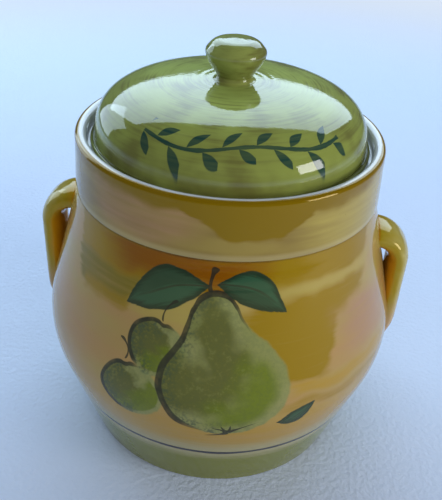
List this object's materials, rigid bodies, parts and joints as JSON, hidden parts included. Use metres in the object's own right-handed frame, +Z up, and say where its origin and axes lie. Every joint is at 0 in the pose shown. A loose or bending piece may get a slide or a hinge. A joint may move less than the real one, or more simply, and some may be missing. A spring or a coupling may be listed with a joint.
{
  "type": "rumtopf pot",
  "caption": "Glazed stoneware crock with a low belly, a collar, ear handles and a recessed domed lid with a knob, for preserving fruit.",
  "frame": {"origin": "centre of the foot, on the surface that the crock stands on", "axes": "+Z up along the crock's axis, +X through the right-hand handle, -Y towards the decorated front"},
  "size_m": [0.2599, 0.2472, 0.286],
  "materials": {
    "yellow_glaze": "brushed ochre and honey glaze under a clear gloss, white inside",
    "green_glaze": "brushed leaf-green glaze under a clear gloss"
  },
  "bodies": {
    "jar": {"crock": "yellow_glaze", "handle_right": "yellow_glaze", "handle_left": "yellow_glaze"},
    "lid": {"lid": "green_glaze", "lid_knob": "green_glaze"}
  },
  "joints": [
    {"name": "lid_lift", "type": "slide", "parent": "jar", "child": "lid", "axis": [0, 0, 1], "range_m": [0, 0.06]}
  ]
}
